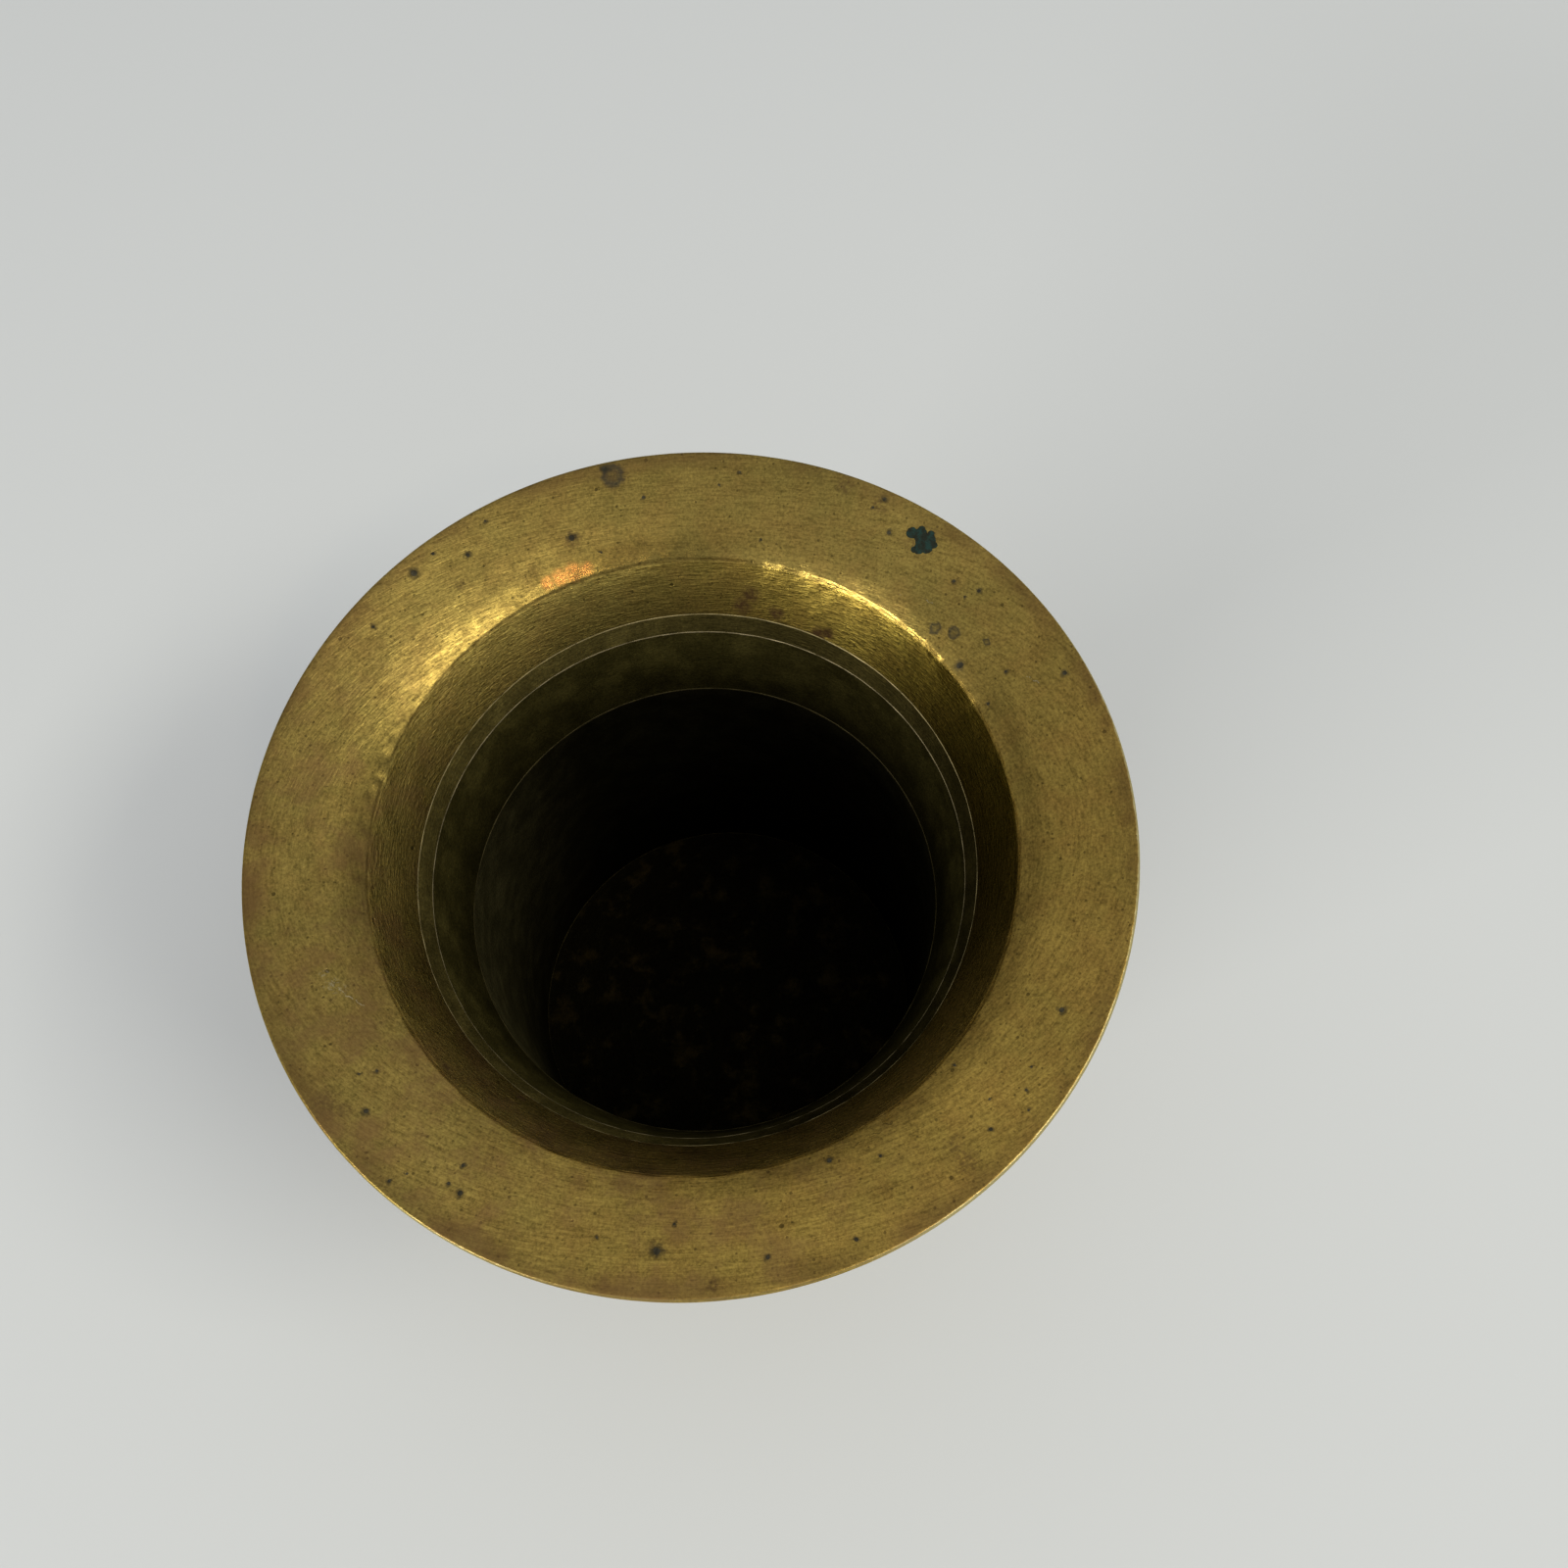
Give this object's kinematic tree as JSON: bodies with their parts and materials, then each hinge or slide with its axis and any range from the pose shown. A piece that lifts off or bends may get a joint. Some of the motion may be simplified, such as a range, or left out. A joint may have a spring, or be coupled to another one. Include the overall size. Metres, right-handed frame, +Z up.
{
  "type": "pen cup",
  "caption": "Round brass pen cup with a wide flared mouth, a crease and stepped throat inside, a straight well, a moulded foot and a felt pad underneath.",
  "frame": {"origin": "centre of the felt pad's underside, on the desk", "axes": "+Z up along the cup's axis of revolution, out of the mouth; X and Y lie in the desk and are interchangeable because the cup is round"},
  "size_m": [0.12, 0.12, 0.106],
  "materials": {
    "lip_brass": "tarnished, satin, with fine brush marks",
    "neck_brass": "tarnished, satin",
    "body_brass": "tarnished, satin outside and dull dark inside",
    "silver_braze": "bright, scraped",
    "pad_felt": "matt wool felt"
  },
  "bodies": {
    "root": {"mouth_flare": "lip_brass", "neck_collar": "neck_brass", "neck_cone": "neck_brass", "body_tube": "body_brass", "base_disc": "body_brass", "foot_ring": "body_brass", "base_felt": "pad_felt", "braze_mouth": "silver_braze", "braze_neck": "silver_braze", "braze_body": "silver_braze", "braze_floor": "silver_braze", "braze_foot": "silver_braze"}
  },
  "joints": []
}
